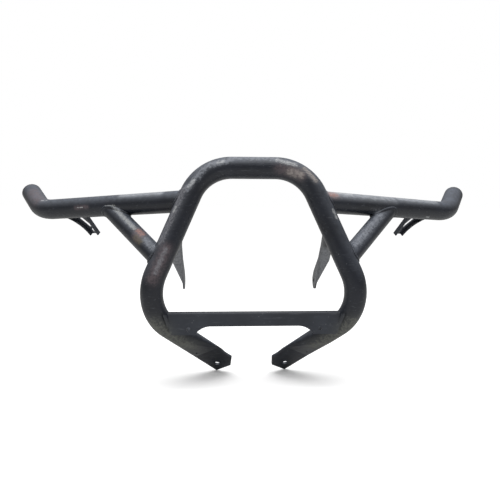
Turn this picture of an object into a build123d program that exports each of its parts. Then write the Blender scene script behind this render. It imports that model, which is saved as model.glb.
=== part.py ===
from build123d import *
from math import cos, pi, radians, sin, sqrt
import os

# Front bumper of an all terrain vehicle: a bent hoop with two swept wings,
# braces, rear arms, a lower cross plate and two fender brackets, all welded.
# Millimetres. X to the right, Y back towards the vehicle, Z up. The origin is
# midway between the bolt holes in the two flat ends of the hoop.

# Tube stock
tube_dia = 35
tube_wall = 2
bend_radius = 70
brace_dia = 30
brace_wall = 2
arm_dia = 20
arm_wall = 1.5
arm_bend_radius = 40

# Hoop, drawn upright from the middle of its top bar and then leaned back
hoop_lean = 13
top_half = 81
shoulder_half = 174
shoulder_drop = 221.5

# Legs, from each lower corner of the hoop to the end of its flat
leg_in = 133.5
leg_back = 119
leg_down = 94
press_start = 86
press_length = 62
crease = 0.6
tab_twist = 20
tab_clip = 20
tab_waist = 3
tab_waist_end = 34
tab_waist_tip = 2.5
tab_seam = 0.4
tab_hole_dia = 10
tab_hole_end = 17
tab_hole_offset = 9
drain_dia = 4
drain_end = 64
drain_offset = 12

# Wings, joined to the hoop's side a little behind its axis
wing_drop = 53.5
wing_set_back = 4
wing_out = 268
wing_back = 130.5
wing_rise = 14
return_out = 42.5
return_back = 60.5
return_rise = 46.5
plug_head = 4
plug_edge = 2.8
plug_length = 18
plug_gap = 0.2

# Braces, from the wing down to the hoop's side
brace_along = 155
brace_drop = 149

# Rear arms, from the hoop's side back and down to a flat end
arm_drop = 93
arm_step_out = 6.5
arm_step_back = 62
arm_step_down = 22
arm_back = 88
arm_down = 61
arm_press_start = 34
arm_press_length = 48
arm_hole_dia = 8.5
arm_hole_end = 14
arm_seam = 0.3

# Lower cross plate, pressed from sheet with a flange along its top
plate_sheet = 3
plate_top = 226
plate_web = 23.2
plate_depth = 36
plate_set_back = 12
plate_top_in = 36
plate_end_in = 44.5
plate_lobe_width = 37
plate_arch = 30
plate_flange = 14
plate_bend = 5
plate_corner = 5
plate_hole_dia = 6
plate_hole_in = 27.5
plate_hole_drop = 27

# Fender brackets, pressed channels under the wings
bracket_along = 240
bracket_drop = 40
bracket_sheet = 2
bracket_lip = 8
bracket_reach = 46
bracket_root = 48
bracket_tip = 18.5
bracket_shift = 20
bracket_sweep = 60
bracket_slot = 30
bracket_slot_width = 6.5
bracket_slot_across = 11.5
bracket_slot_end = 28.5
bracket_slot_turn = 119
bracket_hole_dia = 8.5
bracket_hole_end = 7.5

# Joints
fit_gap = 0.1
tube_bead = 3
small_bead = 2.4
bead_reach = 3.8

tube_radius = tube_dia / 2
tab_thickness = 2 * tube_wall
arm_tab_thickness = 2 * arm_wall

lean = radians(hoop_lean)
upright = Plane(origin=(0, 0, 0), x_dir=(1, 0, 0), z_dir=(0, sin(lean), cos(lean)))


def flat_width(dia, wall):
    """Width of a round tube once its two walls are pressed together."""
    return pi * (dia - wall) / 2 + wall


# The lower corner, the leg's direction and the pressed flat's own plane. The
# flat lies along the leg and is twisted from level, with its outer edge lower.
corner = upright.from_local_coords((shoulder_half, 0, -shoulder_drop))
leg_end = upright.from_local_coords(
    (shoulder_half - leg_in, leg_back, -shoulder_drop - leg_down)
)
leg_length = (leg_end - corner).length
leg_dir = (leg_end - corner).normalized()
tab_level = leg_dir.cross(upright.z_dir).normalized()
tab_across = tab_level.rotate(Axis((0, 0, 0), leg_dir), tab_twist)
tab_face = tab_across.cross(leg_dir)
tab_hole = leg_end - leg_dir * tab_hole_end + tab_across * tab_hole_offset

# The hoop's own frame, moved so that both bolt holes lie on the world's X axis
datum = Vector(0, tab_hole.Y, tab_hole.Z)
guard = Plane(origin=-datum, x_dir=upright.x_dir, z_dir=upright.z_dir)
corner -= datum
leg_end -= datum
tab_hole -= datum


def at(across, back, up):
    """Point given in the hoop's own leaned frame."""
    return guard.from_local_coords((across, back, up))


def on_side(drop):
    """Point on the axis of the hoop's right side, this far below the top bar."""
    run = (shoulder_half - top_half) / shoulder_drop
    return at(top_half + run * drop, 0, -drop)


def rod(path, dia):
    """Solid round bar of one diameter along a path."""
    with BuildPart() as bar:
        with BuildSketch(Plane(origin=path @ 0, z_dir=path % 0)):
            Circle(dia / 2)
        sweep(path=path)
    return bar.part


def round_face(plane, radius):
    """Round section with two short creases, from which a flat can widen."""
    half = crease / 2
    high = sqrt(radius**2 - half**2)
    with BuildSketch(plane) as section:
        with BuildLine():
            ThreePointArc((half, -high), (radius, 0), (half, high))
            Line((half, high), (-half, high))
            ThreePointArc((-half, high), (-radius, 0), (-half, -high))
            Line((-half, -high), (half, -high))
        make_face()
    return section.sketch


def flat_face(plane, width, thickness, offset=0):
    """Pressed flat section with round edges, off the tube's axis by offset."""
    edge = thickness / 2
    half = width / 2 - edge
    low, high = offset - edge, offset + edge
    with BuildSketch(plane) as section:
        with BuildLine():
            ThreePointArc((half, low), (half + edge, offset), (half, high))
            Line((half, high), (-half, high))
            ThreePointArc((-half, high), (-half - edge, offset), (-half, low))
            Line((-half, low), (half, low))
        make_face()
    return section.sketch


# Hoop: half a tube with its pressed end, mirrored
press = Plane(
    origin=corner + leg_dir * press_start, x_dir=tab_across, z_dir=leg_dir
)
pressed = press.offset(press_length)
with BuildLine() as hoop_line:
    FilletPolyline(
        at(0, 0, 0),
        at(top_half, 0, 0),
        corner,
        press.origin,
        radius=bend_radius,
    )
hoop_path = hoop_line.wire()
tab_width = flat_width(tube_dia, tube_wall)
tab_length = leg_length - press_start - press_length
bore_radius = tube_radius - tube_wall

with BuildPart() as half_hoop_bar:
    add(rod(hoop_path, tube_dia))
    loft([round_face(press, tube_radius), flat_face(pressed, tab_width, tab_thickness)])
    extrude(flat_face(pressed, tab_width, tab_thickness), amount=tab_length)

# The flat's inner edge is trimmed to a shallow waist, then clipped at the corner
tab_plane = Plane(origin=leg_end, x_dir=leg_dir, z_dir=-tab_face)
tab_edge = -tab_width / 2
waist_start = (-tab_length, tab_edge)
waist_middle = (-tab_waist_end, tab_edge + tab_waist)
waist_stop = (tab_waist_tip - tab_clip, tab_edge + tab_waist_tip)
with BuildPart() as half_hoop:
    add(half_hoop_bar.part)
    add(rod(hoop_path, 2 * bore_radius), mode=Mode.SUBTRACT)
    loft(
        [
            round_face(press, bore_radius),
            flat_face(pressed, tab_width - tab_thickness, tab_seam),
        ],
        mode=Mode.SUBTRACT,
    )
    with BuildSketch(tab_plane):
        with BuildLine():
            Polyline(
                (-tab_clip, tab_edge),
                (0, tab_edge + tab_clip),
                (tab_clip, tab_edge),
                (0, -tab_width),
                close=True,
            )
        make_face()
        with BuildLine():
            Spline(waist_start, waist_middle, waist_stop, tangents=((1, 0), (1, 0)))
            Polyline(waist_stop, (-tab_clip, -tab_width), (-tab_length, -tab_width), waist_start)
        make_face()
        with Locations((-tab_hole_end, tab_hole_offset)):
            Circle(tab_hole_dia / 2)
    extrude(amount=tube_dia, both=True, mode=Mode.SUBTRACT)
    with BuildSketch(tab_plane):
        with Locations((-drain_end, drain_offset)):
            Circle(drain_dia / 2)
    extrude(amount=tube_dia, mode=Mode.SUBTRACT)

with BuildPart() as hoop_tube:
    add(half_hoop.part)
    mirror(about=Plane.YZ)

hoop_cutter = rod(hoop_path, tube_dia + 2 * fit_gap)

# Wings: swept back from the hoop's side, with a return bent up at the end
wing_root = on_side(wing_drop) + guard.y_dir * wing_set_back
wing_corner = guard.from_local_coords(
    guard.to_local_coords(wing_root) + Vector(wing_out, wing_back, wing_rise)
)
wing_tip = guard.from_local_coords(
    guard.to_local_coords(wing_corner) + Vector(return_out, return_back, return_rise)
)
with BuildLine() as wing_line:
    FilletPolyline(wing_root, wing_corner, wing_tip, radius=bend_radius)
wing_path = wing_line.wire()
wing_dir = (wing_corner - wing_root).normalized()
wing_bar = rod(wing_path, tube_dia)
wing_cutter = rod(wing_path, tube_dia + 2 * fit_gap)

with BuildPart() as right_wing_tube:
    add(wing_bar)
    add(rod(wing_path, 2 * bore_radius), mode=Mode.SUBTRACT)
    add(hoop_cutter, mode=Mode.SUBTRACT)

# Plugs: a low domed head on the tube's end and a shank inside it
plug_plane = Plane(origin=wing_path @ 1, z_dir=wing_path % 1)
with BuildPart() as right_end_plug:
    with BuildSketch(plug_plane):
        Circle(tube_radius)
    extrude(amount=plug_head)
    fillet(faces().sort_by_distance(plug_plane.offset(plug_head).origin)[0].edges(), plug_edge)
    with BuildSketch(plug_plane):
        Circle(bore_radius - plug_gap)
        Circle(bore_radius - plug_gap - tube_wall, mode=Mode.SUBTRACT)
    extrude(amount=-plug_length)

# Braces: smaller tube, coped onto the wing above and the hoop below
brace_top = wing_root + wing_dir * brace_along
brace_foot = on_side(brace_drop)
with BuildLine() as brace_line:
    Line(brace_top, brace_foot)
brace_path = brace_line.wire()

with BuildPart() as brace_bar:
    add(rod(brace_path, brace_dia))
    add(wing_cutter, mode=Mode.SUBTRACT)
    add(hoop_cutter, mode=Mode.SUBTRACT)

with BuildPart() as right_brace_tube:
    add(brace_bar.part)
    add(rod(brace_path, brace_dia - 2 * brace_wall), mode=Mode.SUBTRACT)

# Rear arms: back from the hoop, down at a bend, and pressed flat upright on
# the side that faces the middle
arm_root = on_side(arm_drop)
arm_knee = guard.from_local_coords(
    guard.to_local_coords(arm_root) + Vector(arm_step_out, arm_step_back, -arm_step_down)
)
arm_end = guard.from_local_coords(
    guard.to_local_coords(arm_knee) + Vector(0, arm_back, -arm_down)
)
arm_dir = (arm_end - arm_knee).normalized()
arm_press = Plane(
    origin=arm_knee + arm_dir * arm_press_start,
    x_dir=arm_dir.cross(Vector(1, 0, 0)),
    z_dir=arm_dir,
)
arm_pressed = arm_press.offset(arm_press_length)
arm_width = flat_width(arm_dia, arm_wall)
arm_tab_length = (arm_end - arm_knee).length - arm_press_start - arm_press_length
arm_offset = (arm_dia - arm_tab_thickness) / 2
if arm_press.y_dir.X > 0:
    arm_offset = -arm_offset
with BuildLine() as arm_line:
    FilletPolyline(arm_root, arm_knee, arm_press.origin, radius=arm_bend_radius)
arm_path = arm_line.wire()

with BuildPart() as arm_bar:
    add(rod(arm_path, arm_dia))
    add(hoop_cutter, mode=Mode.SUBTRACT)

with BuildPart() as right_rear_arm:
    add(arm_bar.part)
    loft(
        [
            round_face(arm_press, arm_dia / 2),
            flat_face(arm_pressed, arm_width, arm_tab_thickness, arm_offset),
        ]
    )
    extrude(
        flat_face(arm_pressed, arm_width, arm_tab_thickness, arm_offset),
        amount=arm_tab_length,
    )
    add(rod(arm_path, arm_dia - 2 * arm_wall), mode=Mode.SUBTRACT)
    loft(
        [
            round_face(arm_press, arm_dia / 2 - arm_wall),
            flat_face(
                arm_pressed,
                arm_width - arm_tab_thickness,
                arm_seam,
                arm_offset,
            ),
        ],
        mode=Mode.SUBTRACT,
    )
    with BuildSketch(Plane(origin=arm_end, x_dir=arm_dir, z_dir=(1, 0, 0))):
        Rectangle(arm_width, 2 * arm_width)
        with Locations((-arm_width / 2, 0)):
            Circle(arm_width / 2, mode=Mode.SUBTRACT)
        with Locations((-arm_hole_end, 0)):
            Circle(arm_hole_dia / 2)
    extrude(amount=arm_dia, both=True, mode=Mode.SUBTRACT)

# Cross plate: half of the pressed sheet, coped to the hoop and mirrored
plate_front = at(0, plate_set_back, -plate_top)
plate_back = at(0, plate_set_back + plate_sheet, -plate_top)
plate_plane = Plane(origin=plate_back, x_dir=guard.x_dir, z_dir=-guard.y_dir)
plate_lobe = plate_depth - plate_web
plate_arch_run = sqrt(plate_arch**2 - (plate_arch - plate_lobe) ** 2)
plate_top_half = shoulder_half - plate_top_in
plate_end_half = shoulder_half - plate_end_in
plate_hole_half = plate_end_half - plate_hole_in
lobe_start = (plate_end_half - plate_lobe_width, -plate_depth)
plate_web_half = plate_end_half - plate_lobe_width - plate_arch_run
with BuildSketch(plate_plane) as plate_outline:
    with BuildLine():
        Polyline((0, -plate_web), (0, 0), (plate_top_half, 0), (plate_end_half, -plate_depth), lobe_start)
        RadiusArc(lobe_start, (plate_web_half, -plate_web), -plate_arch)
        Line((plate_web_half, -plate_web), (0, -plate_web))
    make_face()
    fillet(vertices().group_by(Axis.X)[-2:-1], plate_corner)
    with Locations((plate_hole_half, -plate_hole_drop)):
        Circle(plate_hole_dia / 2, mode=Mode.SUBTRACT)

with BuildPart() as half_plate_sheet:
    extrude(plate_outline.sketch, amount=plate_sheet)
    with BuildSketch(Plane(origin=plate_front, x_dir=guard.x_dir, z_dir=-guard.z_dir)):
        Rectangle(plate_top_half, plate_flange, align=(Align.MIN, Align.MAX))
    extrude(amount=plate_sheet)
    bend_outer = at(plate_top_half / 2, plate_set_back, -plate_top)
    fillet(edges().sort_by_distance(bend_outer)[0], plate_bend)
    bend_inner = at(plate_top_half / 2, plate_set_back + plate_sheet, -plate_top - plate_sheet)
    fillet(edges().sort_by_distance(bend_inner)[0], plate_bend - plate_sheet)

with BuildPart() as lower_cross_plate:
    add(half_plate_sheet.part)
    add(hoop_cutter, mode=Mode.SUBTRACT)
    mirror(about=Plane.YZ)

# Fender brackets: a tapered channel, open towards the front and at both ends
level_back = guard.z_dir.cross(wing_dir).normalized()
bracket_down = level_back.rotate(Axis((0, 0, 0), wing_dir), -bracket_drop)
bracket_plane = Plane(
    origin=wing_root + wing_dir * bracket_along,
    x_dir=wing_dir,
    z_dir=wing_dir.cross(bracket_down),
)
bracket_end = tube_radius + bracket_reach
bracket_half = bracket_root / 2
tip_inner = -bracket_shift - bracket_tip / 2
tip_outer = -bracket_shift + bracket_tip / 2
with BuildSketch(bracket_plane) as bracket_outline:
    with BuildLine():
        RadiusArc((bracket_half, tube_radius), (tip_outer, bracket_end), bracket_sweep)
        Polyline(
            (tip_outer, bracket_end),
            (tip_inner, bracket_end),
            (-bracket_half, 0),
            (bracket_half, 0),
            (bracket_half, tube_radius),
        )
    make_face()

with BuildPart() as bracket_channel:
    extrude(bracket_outline.sketch, amount=bracket_lip)
    tip_point = bracket_plane.from_local_coords((-bracket_shift, bracket_end, bracket_lip / 2))
    opened = [
        faces().sort_by_distance(bracket_plane.from_local_coords((0, tube_radius, 0)))[0],
        faces().sort_by_distance(tip_point)[0],
        faces().sort_by_distance(bracket_plane.from_local_coords((0, 0, bracket_lip / 2)))[0],
    ]
    offset(amount=-bracket_sheet, openings=opened)
    with BuildSketch(bracket_plane):
        with Locations((-bracket_slot_across, bracket_end - bracket_slot_end)):
            SlotOverall(bracket_slot, bracket_slot_width, rotation=bracket_slot_turn)
        with Locations((-bracket_shift, bracket_end - bracket_hole_end)):
            Circle(bracket_hole_dia / 2)
    extrude(amount=bracket_lip, mode=Mode.SUBTRACT)

with BuildPart() as right_fender_bracket:
    add(bracket_channel.part)
    add(wing_cutter, mode=Mode.SUBTRACT)

# Weld beads round coped ends: what lies close to both of the joined tubes
with BuildPart() as right_wing_weld:
    add(rod(wing_path, tube_dia + 2 * bead_reach))
    add(rod(hoop_path, tube_dia + 2 * tube_bead), mode=Mode.INTERSECT)
    add(wing_cutter, mode=Mode.SUBTRACT)
    add(hoop_cutter, mode=Mode.SUBTRACT)

brace_cutter = rod(brace_path, brace_dia + 2 * fit_gap)
with BuildPart() as right_brace_upper_weld:
    add(rod(brace_path, brace_dia + 2 * bead_reach))
    add(rod(wing_path, tube_dia + 2 * tube_bead), mode=Mode.INTERSECT)
    add(wing_cutter, mode=Mode.SUBTRACT)
    add(brace_cutter, mode=Mode.SUBTRACT)

with BuildPart() as right_brace_lower_weld:
    add(rod(brace_path, brace_dia + 2 * bead_reach))
    add(rod(hoop_path, tube_dia + 2 * tube_bead), mode=Mode.INTERSECT)
    add(hoop_cutter, mode=Mode.SUBTRACT)
    add(brace_cutter, mode=Mode.SUBTRACT)

with BuildPart() as right_arm_weld:
    add(rod(arm_path, arm_dia + 2 * small_bead))
    add(rod(hoop_path, tube_dia + 2 * small_bead), mode=Mode.INTERSECT)
    add(hoop_cutter, mode=Mode.SUBTRACT)
    add(rod(arm_path, arm_dia + 2 * fit_gap), mode=Mode.SUBTRACT)

# Weld beads along sheet edges: a slab over the edge, close to the tube
with BuildPart() as right_plate_weld:
    with BuildSketch(plate_plane):
        with BuildLine():
            Polyline(
                (plate_top_half - small_bead, -plate_corner),
                (plate_top_half + small_bead, -plate_corner),
                (plate_end_half + small_bead, plate_corner - plate_depth),
                (plate_end_half - small_bead, plate_corner - plate_depth),
                close=True,
            )
        make_face()
    extrude(amount=tube_radius, both=True)
    add(rod(hoop_path, tube_dia + 2 * small_bead), mode=Mode.INTERSECT)
    add(hoop_cutter, mode=Mode.SUBTRACT)
    add(lower_cross_plate.part, mode=Mode.SUBTRACT)

with BuildPart() as right_bracket_weld:
    extrude(bracket_outline.sketch, amount=bracket_lip - bracket_sheet)
    with BuildSketch(bracket_plane):
        Rectangle(2 * bracket_root, 2 * tube_dia)
    extrude(amount=bracket_lip - bracket_sheet - small_bead, mode=Mode.SUBTRACT)
    add(rod(wing_path, tube_dia + 2 * small_bead), mode=Mode.INTERSECT)
    add(wing_cutter, mode=Mode.SUBTRACT)
    add(right_fender_bracket.part, mode=Mode.SUBTRACT)

# Left side
with BuildPart() as left_wing_tube:
    mirror(right_wing_tube.part, about=Plane.YZ)
with BuildPart() as left_end_plug:
    mirror(right_end_plug.part, about=Plane.YZ)
with BuildPart() as left_brace_tube:
    mirror(right_brace_tube.part, about=Plane.YZ)
with BuildPart() as left_rear_arm:
    mirror(right_rear_arm.part, about=Plane.YZ)
with BuildPart() as left_fender_bracket:
    mirror(right_fender_bracket.part, about=Plane.YZ)
with BuildPart() as left_wing_weld:
    mirror(right_wing_weld.part, about=Plane.YZ)
with BuildPart() as left_brace_upper_weld:
    mirror(right_brace_upper_weld.part, about=Plane.YZ)
with BuildPart() as left_brace_lower_weld:
    mirror(right_brace_lower_weld.part, about=Plane.YZ)
with BuildPart() as left_arm_weld:
    mirror(right_arm_weld.part, about=Plane.YZ)
with BuildPart() as left_plate_weld:
    mirror(right_plate_weld.part, about=Plane.YZ)
with BuildPart() as left_bracket_weld:
    mirror(right_bracket_weld.part, about=Plane.YZ)

os.makedirs("parts", exist_ok=True)
hoop_tube.part.label = "hoop_tube"
lower_cross_plate.part.label = "lower_cross_plate"
right_wing_tube.part.label = "right_wing_tube"
left_wing_tube.part.label = "left_wing_tube"
right_end_plug.part.label = "right_end_plug"
left_end_plug.part.label = "left_end_plug"
right_brace_tube.part.label = "right_brace_tube"
left_brace_tube.part.label = "left_brace_tube"
right_rear_arm.part.label = "right_rear_arm"
left_rear_arm.part.label = "left_rear_arm"
right_fender_bracket.part.label = "right_fender_bracket"
left_fender_bracket.part.label = "left_fender_bracket"
right_wing_weld.part.label = "right_wing_weld"
left_wing_weld.part.label = "left_wing_weld"
right_brace_upper_weld.part.label = "right_brace_upper_weld"
left_brace_upper_weld.part.label = "left_brace_upper_weld"
right_brace_lower_weld.part.label = "right_brace_lower_weld"
left_brace_lower_weld.part.label = "left_brace_lower_weld"
right_arm_weld.part.label = "right_arm_weld"
left_arm_weld.part.label = "left_arm_weld"
right_plate_weld.part.label = "right_plate_weld"
left_plate_weld.part.label = "left_plate_weld"
right_bracket_weld.part.label = "right_bracket_weld"
left_bracket_weld.part.label = "left_bracket_weld"

export_step(hoop_tube.part, "parts/hoop_tube.step")
export_step(lower_cross_plate.part, "parts/lower_cross_plate.step")
export_step(right_wing_tube.part, "parts/right_wing_tube.step")
export_step(left_wing_tube.part, "parts/left_wing_tube.step")
export_step(right_end_plug.part, "parts/right_end_plug.step")
export_step(left_end_plug.part, "parts/left_end_plug.step")
export_step(right_brace_tube.part, "parts/right_brace_tube.step")
export_step(left_brace_tube.part, "parts/left_brace_tube.step")
export_step(right_rear_arm.part, "parts/right_rear_arm.step")
export_step(left_rear_arm.part, "parts/left_rear_arm.step")
export_step(right_fender_bracket.part, "parts/right_fender_bracket.step")
export_step(left_fender_bracket.part, "parts/left_fender_bracket.step")
export_step(right_wing_weld.part, "parts/right_wing_weld.step")
export_step(left_wing_weld.part, "parts/left_wing_weld.step")
export_step(right_brace_upper_weld.part, "parts/right_brace_upper_weld.step")
export_step(left_brace_upper_weld.part, "parts/left_brace_upper_weld.step")
export_step(right_brace_lower_weld.part, "parts/right_brace_lower_weld.step")
export_step(left_brace_lower_weld.part, "parts/left_brace_lower_weld.step")
export_step(right_arm_weld.part, "parts/right_arm_weld.step")
export_step(left_arm_weld.part, "parts/left_arm_weld.step")
export_step(right_plate_weld.part, "parts/right_plate_weld.step")
export_step(left_plate_weld.part, "parts/left_plate_weld.step")
export_step(right_bracket_weld.part, "parts/right_bracket_weld.step")
export_step(left_bracket_weld.part, "parts/left_bracket_weld.step")
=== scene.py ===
"""Looks of the front guard: worn satin black paint on welded steel tube."""

import math

import bpy
from mathutils import Euler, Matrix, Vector
from mathutils.bvhtree import BVHTree


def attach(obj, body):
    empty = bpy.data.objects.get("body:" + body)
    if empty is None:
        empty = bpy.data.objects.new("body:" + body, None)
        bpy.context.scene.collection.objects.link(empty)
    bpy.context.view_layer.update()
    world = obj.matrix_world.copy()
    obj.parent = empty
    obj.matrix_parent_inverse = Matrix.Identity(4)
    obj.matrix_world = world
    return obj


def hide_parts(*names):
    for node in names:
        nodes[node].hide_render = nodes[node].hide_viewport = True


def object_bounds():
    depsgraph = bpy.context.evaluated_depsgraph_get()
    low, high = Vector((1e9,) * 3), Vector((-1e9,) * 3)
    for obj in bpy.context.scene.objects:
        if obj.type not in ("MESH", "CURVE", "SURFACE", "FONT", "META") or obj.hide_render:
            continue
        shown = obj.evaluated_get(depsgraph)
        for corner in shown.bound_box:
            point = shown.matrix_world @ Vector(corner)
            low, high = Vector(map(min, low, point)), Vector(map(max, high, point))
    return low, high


MM = 0.001

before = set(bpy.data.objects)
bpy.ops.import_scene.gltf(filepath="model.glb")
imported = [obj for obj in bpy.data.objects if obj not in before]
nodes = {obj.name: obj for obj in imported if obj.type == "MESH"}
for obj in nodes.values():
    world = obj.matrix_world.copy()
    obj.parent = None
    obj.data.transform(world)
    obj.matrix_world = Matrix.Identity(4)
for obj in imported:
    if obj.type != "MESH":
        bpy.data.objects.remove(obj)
cad_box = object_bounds()

# Driving dimensions in millimetres and degrees, named and measured as in the part's source. They
# place the weld beads and the wear on the tubes.
TUBE_DIA, BRACE_DIA, ARM_DIA = 35, 30, 20
BEND_RADIUS = 70
HOOP_LEAN = 13
TOP_HALF, SHOULDER_HALF, SHOULDER_DROP = 81, 174, 221.5
LEG_IN, LEG_BACK, LEG_DOWN = 133.5, 119, 94
WING_DROP, WING_SET_BACK = 53.5, 4
WING_OUT, WING_BACK, WING_RISE = 268, 130.5, 14
RETURN_OUT, RETURN_BACK, RETURN_RISE = 42.5, 60.5, 46.5
BRACE_ALONG, BRACE_DROP = 155, 149
ARM_DROP = 93
ARM_STEP_OUT, ARM_STEP_BACK, ARM_STEP_DOWN = 6.5, 62, 22
ARM_BACK, ARM_DOWN = 88, 61

# Middle of the hoop's top bar, from the origin between the two bolt holes
HOOP_TOP = Vector((0, -41.61, 328.09))


def mirrored(v, side):
    """A point or direction of the right side, carried over to the side asked for."""
    return Vector((v[0] * side, v[1], v[2]))


def leaned(across, back, up):
    """Direction given in the hoop's own leaned frame."""
    lean = math.radians(HOOP_LEAN)
    level, steep = math.cos(lean), math.sin(lean)
    return Vector((across, back * level + up * steep, up * level - back * steep))


def on_side(drop):
    """Point on the axis of the hoop's right side, this far below the top bar."""
    run = (SHOULDER_HALF - TOP_HALF) / SHOULDER_DROP
    return HOOP_TOP + leaned(TOP_HALF + run * drop, 0, -drop)


def bend(before, corner, after):
    """Start, middle and end of the bend between two straight runs of the main tube."""
    into, out = (corner - before).normalized(), (after - corner).normalized()
    half = into.angle(out) / 2
    reach = BEND_RADIUS * math.tan(half)
    inset = BEND_RADIUS * (1 / math.cos(half) - 1)
    middle = corner + (out - into).normalized() * inset
    return corner - into * reach, middle, corner + out * reach


# Axes of the tubes on the right side
HOOP_CORNER = on_side(SHOULDER_DROP)
LEG_END = HOOP_CORNER + leaned(-LEG_IN, LEG_BACK, -LEG_DOWN)
BEND_START, BEND_MIDDLE, BEND_END = bend(HOOP_TOP, on_side(0), HOOP_CORNER)
WING_ROOT = on_side(WING_DROP) + leaned(0, WING_SET_BACK, 0)
WING_CORNER = WING_ROOT + leaned(WING_OUT, WING_BACK, WING_RISE)
WING_END = WING_CORNER + leaned(RETURN_OUT, RETURN_BACK, RETURN_RISE)
BRACE_TOP = WING_ROOT + (WING_CORNER - WING_ROOT).normalized() * BRACE_ALONG
BRACE_FOOT = on_side(BRACE_DROP)
ARM_ROOT = on_side(ARM_DROP)
ARM_KNEE = ARM_ROOT + leaned(ARM_STEP_OUT, ARM_STEP_BACK, -ARM_STEP_DOWN)
ARM_END = ARM_KNEE + leaned(0, ARM_BACK, -ARM_DOWN)

# Start, end and diameter of each straight run, with each half of the upper bend taken as straight
RUNS = {
    "top bar": (HOOP_TOP, BEND_START, TUBE_DIA),
    "upper bend": (BEND_START, BEND_MIDDLE, TUBE_DIA),
    "shoulder bend": (BEND_MIDDLE, BEND_END, TUBE_DIA),
    "hoop side": (BEND_END, HOOP_CORNER, TUBE_DIA),
    "leg": (HOOP_CORNER, LEG_END, TUBE_DIA),
    "wing": (WING_ROOT, WING_CORNER, TUBE_DIA),
    "wing return": (WING_CORNER, WING_END, TUBE_DIA),
    "brace": (BRACE_TOP, BRACE_FOOT, BRACE_DIA),
    "rear arm": (ARM_KNEE, ARM_END, ARM_DIA),
}

LEFT, RIGHT, BOTH = (-1,), (1,), (-1, 1)
FRONT = Vector((0, -1, 0))
OUTER_FRONT = Vector((1, -1, 0))
LOWER_FRONT = Vector((0, -1, -1))
UPPER_FRONT = Vector((0, -1, 1))
HIGH_FRONT = Vector((0, -1, 2))

# Wear and painted light placed on the guard: what each is, its colour, how opaque it is, how much
# of it is an even film (the rest is specks), its grain in millimetres, how far the grain is drawn
# out across the guard, and its strokes. A stroke is the sides it is on, its run of tube, where it
# starts and stops as shares of the run, the way it faces, and its radius in millimetres.
WEAR_AND_PAINTED_LIGHT = (
    ("road dust on the lower bends and flat ends", "#82837a", 0.55, 0.3, 4, 1, (
        (BOTH, "leg", 0.15, 0.55, LOWER_FRONT, 31),
        (BOTH, "leg", 0.6, 0.8, LOWER_FRONT, 19),
    )),
    ("purple brown haze of old mud", "#74666a", 0.55, 0.35, 4, 1, (
        (LEFT, "hoop side", 0.5, 0.75, FRONT, 20),
        (RIGHT, "upper bend", 0.2, 1, FRONT, 19),
        (LEFT, "brace", 0.62, 0.68, FRONT, 12),
        (LEFT, "wing", 0.62, 0.7, FRONT, 8),
        (LEFT, "wing return", 0.1, 0.6, UPPER_FRONT, 24),
    )),
    # Painted floor bounce: the rear arms' fronts are painted light grey where the white floor
    # lights them
    ("painted floor bounce light on the rear arms", "#a3a5aa", 0.8, 0.6, 5, 1, (
        (BOTH, "rear arm", 0.05, 0.7, FRONT, 24),
    )),
    # Partly painted highlight: upper fronts painted light blue grey, with chalky specks of aged
    # film
    ("painted highlight with chalky specks on the upper fronts", "#969aa3", 0.62, 0.05, 4.5, 1, (
        (RIGHT, "brace", 0.3, 0.8, HIGH_FRONT, 20),
        (LEFT, "brace", 0.2, 0.5, UPPER_FRONT, 11),
        (LEFT, "brace", 0.75, 0.9, UPPER_FRONT, 13),
        (BOTH, "top bar", 0, 1, HIGH_FRONT, 15),
        (LEFT, "upper bend", 0, 1, UPPER_FRONT, 13),
        (LEFT, "shoulder bend", 0, 1, UPPER_FRONT, 12),
    )),
    ("grey mottling down the left side", "#8c8c92", 0.62, 0.1, 3.5, 1, (
        (LEFT, "hoop side", 0, 0.45, OUTER_FRONT, 15),
        (LEFT, "hoop side", 0.5, 0.7, FRONT, 8),
    )),
    # Partly painted highlight: the wing tops are painted light grey, with streaks of rubbed paint
    ("rubbed paint and painted highlight along the wing tops", "#b0b4ba", 0.8, 0.4, 3, 6, (
        (RIGHT, "wing", 0.05, 0.5, HIGH_FRONT, 20),
        (RIGHT, "wing", 0.55, 0.85, HIGH_FRONT, 14),
        (LEFT, "wing", 0.15, 0.4, HIGH_FRONT, 12),
    )),
    ("paint rubbed thin on the right bend", "#aaa29d", 0.75, 0.2, 3, 2, (
        (RIGHT, "upper bend", 0.6, 1, FRONT, 14),
        (RIGHT, "shoulder bend", 0, 0.6, OUTER_FRONT, 9),
    )),
    ("fine white scratches", "#c0c2c4", 0.85, 0, 1.5, 4, (
        (RIGHT, "upper bend", 0, 0.7, UPPER_FRONT, 9),
        (LEFT, "upper bend", 0.3, 0.5, UPPER_FRONT, 7),
        (LEFT, "shoulder bend", 0.6, 0.9, UPPER_FRONT, 7),
        (RIGHT, "wing", 0.08, 0.2, HIGH_FRONT, 8),
        (LEFT, "wing", 0.65, 0.69, FRONT, 1.8),
        (RIGHT, "wing", 0.78, 0.8, LOWER_FRONT, 3.5),
        (LEFT, "wing", 0.94, 0.98, HIGH_FRONT, 4),
    )),
    ("weld spatter and bare flecks", "#a8aaaa", 0.9, 0, 1.8, 1, (
        (RIGHT, "hoop side", 0.18, 0.25, OUTER_FRONT, 7),
        (LEFT, "hoop side", 0.16, 0.2, OUTER_FRONT, 5),
        (LEFT, "wing", 0.43, 0.49, FRONT, 2.5),
        (LEFT, "wing", 0.38, 0.42, LOWER_FRONT, 3),
        (LEFT, "brace", 0.15, 0.55, UPPER_FRONT, 8),
    )),
    ("brown stain around the rust", "#706650", 0.6, 0.2, 3, 1, (
        (LEFT, "brace", 0.65, 0.72, FRONT, 12),
    )),
    ("surface rust", "#a67d74", 0.95, 0.15, 2.6, 1, (
        (LEFT, "brace", 0.6, 0.66, HIGH_FRONT, 12),
        (RIGHT, "wing", 0.05, 0.08, UPPER_FRONT, 14),
    )),
)


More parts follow.
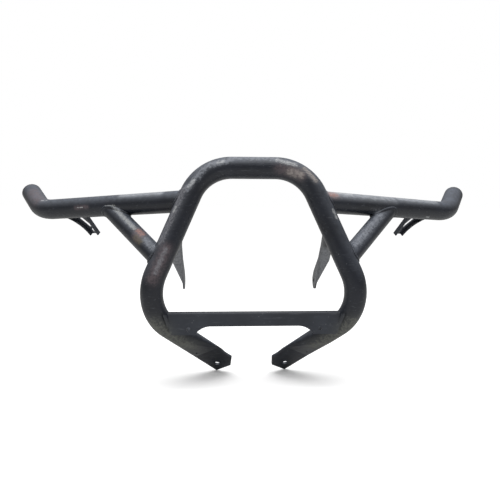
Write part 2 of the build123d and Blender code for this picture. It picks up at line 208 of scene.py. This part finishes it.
def linear(code):
    """Linear colour of an sRGB hex value such as #33363c."""
    parts = [int(code[i : i + 2], 16) / 255 for i in (1, 3, 5)]
    return (*(c / 12.92 if c <= 0.04045 else ((c + 0.055) / 1.055) ** 2.4 for c in parts), 1.0)


def add(tree, kind, inputs=None, **settings):
    """Adds one shader node: settings are its properties, inputs are values or sockets to link."""
    made = tree.nodes.new("ShaderNode" + kind)
    for key, value in settings.items():
        setattr(made, key, value)
    for key, value in (inputs or {}).items():
        if isinstance(value, bpy.types.NodeSocket):
            tree.links.new(value, made.inputs[key])
        else:
            made.inputs[key].default_value = value
    return made


def new_material(name):
    """Empty node material: its tree, its Principled shader and the object's own coordinates.

    Every piece has its origin at the frame's, so these coordinates run on from piece to piece.
    """
    material = bpy.data.materials.new(name)
    material.use_nodes = True
    tree = material.node_tree
    tree.nodes.clear()
    shader = add(tree, "BsdfPrincipled")
    add(tree, "OutputMaterial", {"Surface": shader.outputs["BSDF"]})
    where = add(tree, "TexCoord").outputs["Object"]
    return material, tree, shader, where


def laid(sides, run, first, last, facing, radius):
    """Ends and radius of a wear stroke on its tube's surface, in metres, for each side it is on."""
    start, end, dia = RUNS[run]
    along = (end - start).normalized()
    out = (facing - along * facing.dot(along)).normalized() * dia / 2
    ends = [(start.lerp(end, share) + out) * MM for share in (first, last)]
    return [(mirrored(ends[0], side), mirrored(ends[1], side), radius * MM) for side in sides]


def near(tree, where, strokes):
    """Factor that is 1 along the given strokes and falls to 0 at their radius."""
    full = 0.15  # share of the radius over which the wear is at its full strength
    total = None
    for start, end, radius in [spot for stroke in strokes for spot in laid(*stroke)]:
        run = end - start
        arm = add(tree, "VectorMath", {0: where, 1: start}, operation="SUBTRACT").outputs[0]
        share = add(
            tree, "VectorMath", {0: arm, 1: run / run.length_squared}, operation="DOT_PRODUCT"
        ).outputs["Value"]
        share = add(tree, "Clamp", {"Value": share}).outputs[0]
        foot = add(tree, "VectorMath", {0: run, "Scale": share}, operation="SCALE").outputs[0]
        gap = add(tree, "VectorMath", {0: arm, 1: foot}, operation="DISTANCE").outputs["Value"]
        fall = add(
            tree,
            "MapRange",
            {"Value": gap, "From Min": full * radius, "From Max": radius, "To Min": 1, "To Max": 0},
            interpolation_type="SMOOTHSTEP",
        ).outputs["Result"]
        if total is None:
            total = fall
        else:
            total = add(tree, "Math", {0: total, 1: fall}, operation="MAXIMUM").outputs[0]
    return total


def over(tree, factor, below, above):
    """Colour below with a second colour laid over it by a factor.

    Inputs 6 and 7 and output 2 are the Mix node's colour sockets.
    """
    return add(tree, "Mix", {"Factor": factor, 6: below, 7: above}, data_type="RGBA").outputs[2]


def placed_layer(tree, where, turn, opacity, film, grain, drawn_out, strokes):
    """Factor of one layer of the table: an even film and specks that crowd together along its
    strokes.
    """
    fine = 1 / (grain * MM)
    # Each kind takes its own part of the noise, so that no two have the same specks
    shifted = add(
        tree,
        "Mapping",
        {"Vector": where, "Location": (turn, 0, 0), "Scale": (fine / drawn_out, fine, fine)},
    ).outputs["Vector"]
    noise = add(
        tree, "TexNoise", {"Vector": shifted, "Scale": 1.0, "Detail": 6, "Roughness": 0.72}
    ).outputs["Fac"]
    close = near(tree, where, strokes)
    # The specks thin out towards the rim of a patch
    thin = add(tree, "MapRange", {"Value": close, "To Min": 0.62, "To Max": 0.34}).outputs["Result"]
    full = add(tree, "Math", {0: thin, 1: 0.26}, operation="ADD").outputs[0]
    speck = add(
        tree,
        "MapRange",
        {"Value": noise, "From Min": thin, "From Max": full},
        interpolation_type="SMOOTHSTEP",
    ).outputs["Result"]
    speck = add(tree, "MapRange", {"Value": speck, "To Min": film, "To Max": 1}).outputs["Result"]
    overlay = add(tree, "Math", {0: speck, 1: close}, operation="MULTIPLY").outputs[0]
    return add(tree, "Math", {0: overlay, 1: opacity}, operation="MULTIPLY").outputs[0]


def worn_satin_black_paint(name, top_highlight, low_colour, high_colour):
    """Black solvent paint sprayed on steel: a blue-black satin film, painted lighter where it faces
    up.

    The first number after the name sets how strongly the upper sides get this painted highlight,
    and the film fades from the low colour to the high one.
    """
    material, tree, shader, where = new_material(name)

    # Cloudy fading, patches about 60 mm across: no length of tube is one flat black
    cloud = add(
        tree, "TexNoise", {"Vector": where, "Scale": 1 / (60 * MM), "Detail": 6, "Roughness": 0.6}
    ).outputs["Fac"]
    clouded = add(tree, "MapRange", {"Value": cloud, "From Min": 0.3, "From Max": 0.7}).outputs[0]
    colour = over(tree, clouded, linear(low_colour), linear(high_colour))

    # Painted highlight on the sides that face up, broken by 9 mm mottling: tops painted light grey
    blotch = add(
        tree, "TexNoise", {"Vector": where, "Scale": 1 / (9 * MM), "Detail": 6, "Roughness": 0.7}
    ).outputs["Fac"]
    normal = add(tree, "NewGeometry").outputs["Normal"]
    up = add(tree, "SeparateXYZ", {"Vector": normal}).outputs["Z"]
    facing = add(
        tree,
        "MapRange",
        {"Value": up, "From Min": 0.1, "From Max": 0.9, "To Min": 0, "To Max": top_highlight},
        interpolation_type="SMOOTHSTEP",
    ).outputs["Result"]
    mottled = add(
        tree,
        "MapRange",
        {"Value": blotch, "From Min": 0.35, "From Max": 0.65, "To Min": 0.35, "To Max": 1.05},
    ).outputs["Result"]
    painted_top_highlight = add(tree, "Math", {0: facing, 1: mottled}, operation="MULTIPLY").outputs[0]
    colour = over(tree, painted_top_highlight, colour, linear("#737a87"))

    # Hairline scuffs 24 mm long and 3 mm apart, drawn out across the guard: a faint brushed streak
    drawn = add(
        tree,
        "Mapping",
        {"Vector": where, "Scale": (1 / (24 * MM), 1 / (3 * MM), 1 / (3 * MM))},
    ).outputs["Vector"]
    hair = add(
        tree, "TexNoise", {"Vector": drawn, "Scale": 1.0, "Detail": 3, "Roughness": 0.7}
    ).outputs["Fac"]
    scuff = add(
        tree,
        "MapRange",
        {"Value": hair, "From Min": 0.58, "From Max": 0.74, "To Min": 0, "To Max": 0.3},
    ).outputs["Result"]
    colour = over(tree, scuff, colour, linear("#6d7178"))

    # Chips about 1.5 mm across, in clusters: pinpricks of grey primer
    chips = add(tree, "TexVoronoi", {"Vector": where, "Scale": 1 / (8 * MM)}).outputs["Distance"]
    chipped = add(
        tree,
        "MapRange",
        {"Value": chips, "From Min": 0.08, "From Max": 0.14, "To Min": 0.3, "To Max": 0},
    ).outputs["Result"]
    cluster = add(tree, "MapRange", {"Value": cloud, "From Min": 0.5, "From Max": 0.6}).outputs[0]
    chipped = add(tree, "Math", {0: chipped, 1: cluster}, operation="MULTIPLY").outputs[0]
    colour = over(tree, chipped, colour, linear("#8b8e92"))

    # The painted top highlight also dulls the film
    dull = painted_top_highlight
    for turn, (what, tint, opacity, film, grain, drawn_out, strokes) in enumerate(WEAR_AND_PAINTED_LIGHT):
        overlay = placed_layer(tree, where, turn, opacity, film, grain, drawn_out, strokes)
        overlay.node.label = what
        colour = over(tree, overlay, colour, linear(tint))
        dull = add(tree, "Math", {0: dull, 1: overlay}, operation="MAXIMUM").outputs[0]
    tree.links.new(colour, shader.inputs["Base Color"])

    # Satin film: glossier where it is whole, dull where dust, rust and the painted highlights lie
    gloss = add(
        tree,
        "MapRange",
        {"Value": blotch, "From Min": 0.3, "From Max": 0.7, "To Min": 0.3, "To Max": 0.44},
    ).outputs["Result"]
    rough = add(tree, "Mix", {"Factor": dull, "A": gloss, "B": 0.8}).outputs[0]
    tree.links.new(rough, shader.inputs["Roughness"])

    # Orange peel of the sprayed film in 3 mm waves, with the scuffs and chips cut in: highlights
    # break up instead of running clean along the tube
    peel = add(
        tree, "TexNoise", {"Vector": where, "Scale": 1 / (3 * MM), "Detail": 3}
    ).outputs["Fac"]
    cut = add(tree, "Math", {0: scuff, 1: chipped}, operation="ADD").outputs[0]
    height = add(tree, "Math", {0: peel, 1: cut}, operation="SUBTRACT").outputs[0]
    bump = add(tree, "Bump", {"Height": height, "Strength": 0.25, "Distance": 0.4 * MM})
    tree.links.new(bump.outputs["Normal"], shader.inputs["Normal"])
    shader.inputs["IOR"].default_value = 1.5
    return material


def moulded_black_polyethylene():
    """Soft black plug moulded in polyethylene: dull, with a 0.8 mm grain.

    The real grain is finer still, and this one is drawn coarse enough to show.
    """
    material, tree, shader, where = new_material("moulded_black_polyethylene")
    grain = add(
        tree, "TexNoise", {"Vector": where, "Scale": 1 / (0.8 * MM), "Detail": 3}
    ).outputs["Fac"]
    colour = over(tree, grain, linear("#1c1d1f"), linear("#2b2c2e"))
    tree.links.new(colour, shader.inputs["Base Color"])
    bump = add(tree, "Bump", {"Height": grain, "Strength": 0.2, "Distance": 0.2 * MM})
    tree.links.new(bump.outputs["Normal"], shader.inputs["Normal"])
    shader.inputs["Roughness"].default_value = 0.6
    shader.inputs["IOR"].default_value = 1.51
    return material


# The upright sheet parts look more neutral than the tubes, with hardly any painted top highlight
paint = worn_satin_black_paint("worn_satin_black_paint", 0.6, "#0f131d", "#1b202c")
sheet_paint = worn_satin_black_paint("satin_black_paint_on_sheet", 0.05, "#282b32", "#363a42")
plug_plastic = moulded_black_polyethylene()
for name, node in nodes.items():
    for holder in node.material_slots:
        if name.endswith("end_plug"):
            holder.material = plug_plastic
        elif "plate" in name or "bracket" in name:
            holder.material = sheet_paint
        else:
            holder.material = paint


# Weld beads, in millimetres: the length of one ripple, the length over which an open bead tapers
# at its ends, and how deep its root sits in the joint
RIPPLE_PITCH = 2.6
END_TAPER = 4
ROOT_DEPTH = 0.6
# Points around a seam and across a bead's face
SEAM_POINTS = 360
FACE_POINTS = 8
# Rays for the seam run just inside the tube's wall, as a share of its radius
RAY_SHARE = 0.985


def surface(name):
    """Search tree over a CAD node's faces."""
    mesh = nodes[name].data
    return BVHTree.FromPolygons(
        [v.co for v in mesh.vertices], [tuple(p.vertices) for p in mesh.polygons]
    )


def coped_seam(outer, inner, radius, target):
    """Seam of a round tube coped onto another: points with both surfaces' outward normals, and
    if it closes.

    Where the tube passes beside the other one, its seam is open, and it starts after that gap.
    """
    inward = (inner - outer).normalized()
    side = inward.orthogonal().normalized()
    reach = (inner - outer).length
    tree = surface(target)
    seam = []
    for i in range(SEAM_POINTS):
        turn = 2 * math.pi * i / SEAM_POINTS
        out = side * math.cos(turn) + inward.cross(side) * math.sin(turn)
        hit, normal, _, _ = tree.ray_cast(outer + out * radius * RAY_SHARE, inward, reach)
        seam.append((hit, normal, out) if hit is not None else None)
    closed = None not in seam
    if not closed:
        starts = [i for i in range(SEAM_POINTS) if seam[i - 1] is None and seam[i] is not None]
        seam = seam[starts[0] :] + seam[: starts[0]]
        seam = [spot for spot in seam if spot is not None]
    return seam, closed


def bead(name, seam, closed, leg, *cad):
    """Fillet weld with overlapping ripples, laid along a seam. Leg is its reach on each surface."""
    runs = [0.0]
    for a, b in zip(seam, seam[1:]):
        runs.append(runs[-1] + (b[0] - a[0]).length)
    length = runs[-1] + ((seam[0][0] - seam[-1][0]).length if closed else 0)
    ripples = round(length / (RIPPLE_PITCH * MM))
    points, faces = [], []
    for (at, one, two), run in zip(seam, runs):
        on_one = (two - one * two.dot(one)).normalized()
        on_two = (one - two * one.dot(two)).normalized()
        out = (one + two).normalized()
        reach = leg
        if not closed:
            reach *= min(1, 0.35 + min(run, length - run) / (END_TAPER * MM))
        # A hand-laid bead wanders in width, here by up to 6 percent in two uneven waves
        lap = run / length * 2 * math.pi
        reach *= 1 + 0.06 * math.sin(19 * lap) * math.sin(7 * lap)
        for j in range(FACE_POINTS + 1):
            t = j / FACE_POINTS
            across = 4 * t * (1 - t)
            # Ripples lag at the middle of the face, so they curve like fish scales
            beat = (run / length * ripples - 0.3 * across) % 1
            swell = 0.3 * across * (0.72 + 0.28 * math.sin(math.pi * beat) ** 0.7)
            points.append(at + on_one * reach * (1 - t) + on_two * reach * t + out * reach * swell)
        points.append(at - out * ROOT_DEPTH * MM)
    ring = FACE_POINTS + 2
    last = len(seam) if closed else len(seam) - 1
    for i in range(last):
        a, b = i * ring, (i + 1) % len(seam) * ring
        for j in range(ring):
            k = (j + 1) % ring
            faces.append((a + j, a + k, b + k, b + j))
    if not closed:
        faces.append(tuple(range(ring)))
        faces.append(tuple(reversed(range(last * ring, (last + 1) * ring))))
    mesh = bpy.data.meshes.new(name)
    mesh.from_pydata(points, [], faces)
    mesh.validate()
    mesh.update()
    for polygon in mesh.polygons:
        polygon.use_smooth = True
    made = bpy.data.objects.new(name, mesh)
    bpy.context.scene.collection.objects.link(made)
    made.data.materials.append(paint)
    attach(made, "root")
    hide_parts(*cad)


for word, side in (("right", 1), ("left", -1)):
    root, corner, top, foot, arm_root, knee = (
        mirrored(spot, side) * MM
        for spot in (WING_ROOT, WING_CORNER, BRACE_TOP, BRACE_FOOT, ARM_ROOT, ARM_KNEE)
    )
    middle = (top + foot) / 2
    # Each weld: where rays along its tube start and end, the tube's diameter, what it meets, and
    # the bead's leg
    for weld, outer, inner, dia, target, leg in (
        ("wing", root.lerp(corner, 0.3), root, TUBE_DIA, "hoop_tube", 2.6),
        ("brace_upper", middle, top, BRACE_DIA, f"{word}_wing_tube", 3.2),
        ("brace_lower", middle, foot, BRACE_DIA, "hoop_tube", 3.4),
        ("arm", arm_root.lerp(knee, 0.55), arm_root, ARM_DIA, "hoop_tube", 3),
    ):
        seam, closed = coped_seam(outer, inner, dia / 2 * MM, target)
        bead(f"{word}_{weld}_bead", seam, closed, leg * MM, f"{word}_{weld}_weld")


FLOOR_SIZE = 400
CONTACT_SHADOW = 120 * MM
FLOOR_LIFT = 0.36

bpy.ops.mesh.primitive_plane_add(size=FLOOR_SIZE, location=(0, 0, cad_box[0].z))
floor = bpy.context.object
floor.name = "floor"
floor_paint = bpy.data.materials.new("white_studio_floor")
floor_paint.use_nodes = True
tree = floor_paint.node_tree
tree.nodes.clear()
# The camera sees it lifted to white, less so close to the guard, and the rest meets a pale board
board = add(tree, "BsdfDiffuse", {"Color": linear("#dcdcda")})
white = add(tree, "BsdfDiffuse", {"Color": linear("#ffffff")})
open_sky = add(tree, "AmbientOcclusion", {"Distance": CONTACT_SHADOW}, samples=8).outputs["AO"]
glow = add(tree, "Math", {0: open_sky, 1: FLOOR_LIFT}, operation="MULTIPLY").outputs[0]
lift = add(tree, "Emission", {"Strength": glow})
lifted = add(tree, "AddShader", {0: white.outputs[0], 1: lift.outputs[0]})
seen = add(tree, "LightPath").outputs["Is Camera Ray"]
both = add(tree, "MixShader", {0: seen, 1: board.outputs[0], 2: lifted.outputs[0]})
add(tree, "OutputMaterial", {"Surface": both.outputs[0]})
floor.data.materials.append(floor_paint)

world = bpy.data.worlds.new("soft_studio")
bpy.context.scene.world = world
world.use_nodes = True
tree = world.node_tree
tree.nodes.clear()
# The room: a bright ceiling and dark walls, so that the tubes show a light top and a dark front
skyward = add(tree, "SeparateXYZ", {"Vector": add(tree, "TexCoord").outputs["Generated"]})
room = add(
    tree,
    "MapRange",
    {
        "Value": skyward.outputs["Z"],
        "From Min": 0.05,
        "From Max": 0.75,
        "To Min": 0.22,
        "To Max": 0.8,
    },
).outputs["Result"]
path = add(tree, "LightPath")
shown = add(
    tree,
    "Math",
    {0: path.outputs["Is Camera Ray"], 1: path.outputs["Is Transmission Ray"]},
    operation="MAXIMUM",
).outputs[0]
strength = add(tree, "Mix", {"Factor": shown, "A": room, "B": 1.0}).outputs[0]
background = add(tree, "Background", {"Color": (1, 1, 1, 1), "Strength": strength})
add(tree, "OutputWorld", {"Surface": background.outputs[0]})

# Softbox over the guard, in metres and watts
softbox = bpy.data.lights.new("overhead_softbox", "AREA")
softbox.shape = "RECTANGLE"
softbox.size, softbox.size_y, softbox.energy = 1.8, 1.4, 14
overhead = bpy.data.objects.new("overhead_softbox", softbox)
overhead.location = (0, -0.2, 1.6)
aim = Vector((0, 0, 0.2)) - overhead.location
overhead.rotation_euler = aim.to_track_quat("-Z", "Y").to_euler()
bpy.context.scene.collection.objects.link(overhead)

# Camera fitted to the photograph, in metres and degrees
camera = bpy.data.objects.new("camera", bpy.data.cameras.new("camera"))
camera.location = (-0.0519, -0.8758, 0.2663)
camera.rotation_euler = Euler([math.radians(a) for a in (85.267, -0.250, -3.186)])
camera.data.sensor_width = 36
camera.data.lens = 37.44
camera.data.clip_start = 0.01
bpy.context.scene.collection.objects.link(camera)
bpy.context.scene.camera = camera
bpy.context.scene.view_settings.view_transform = "Standard"
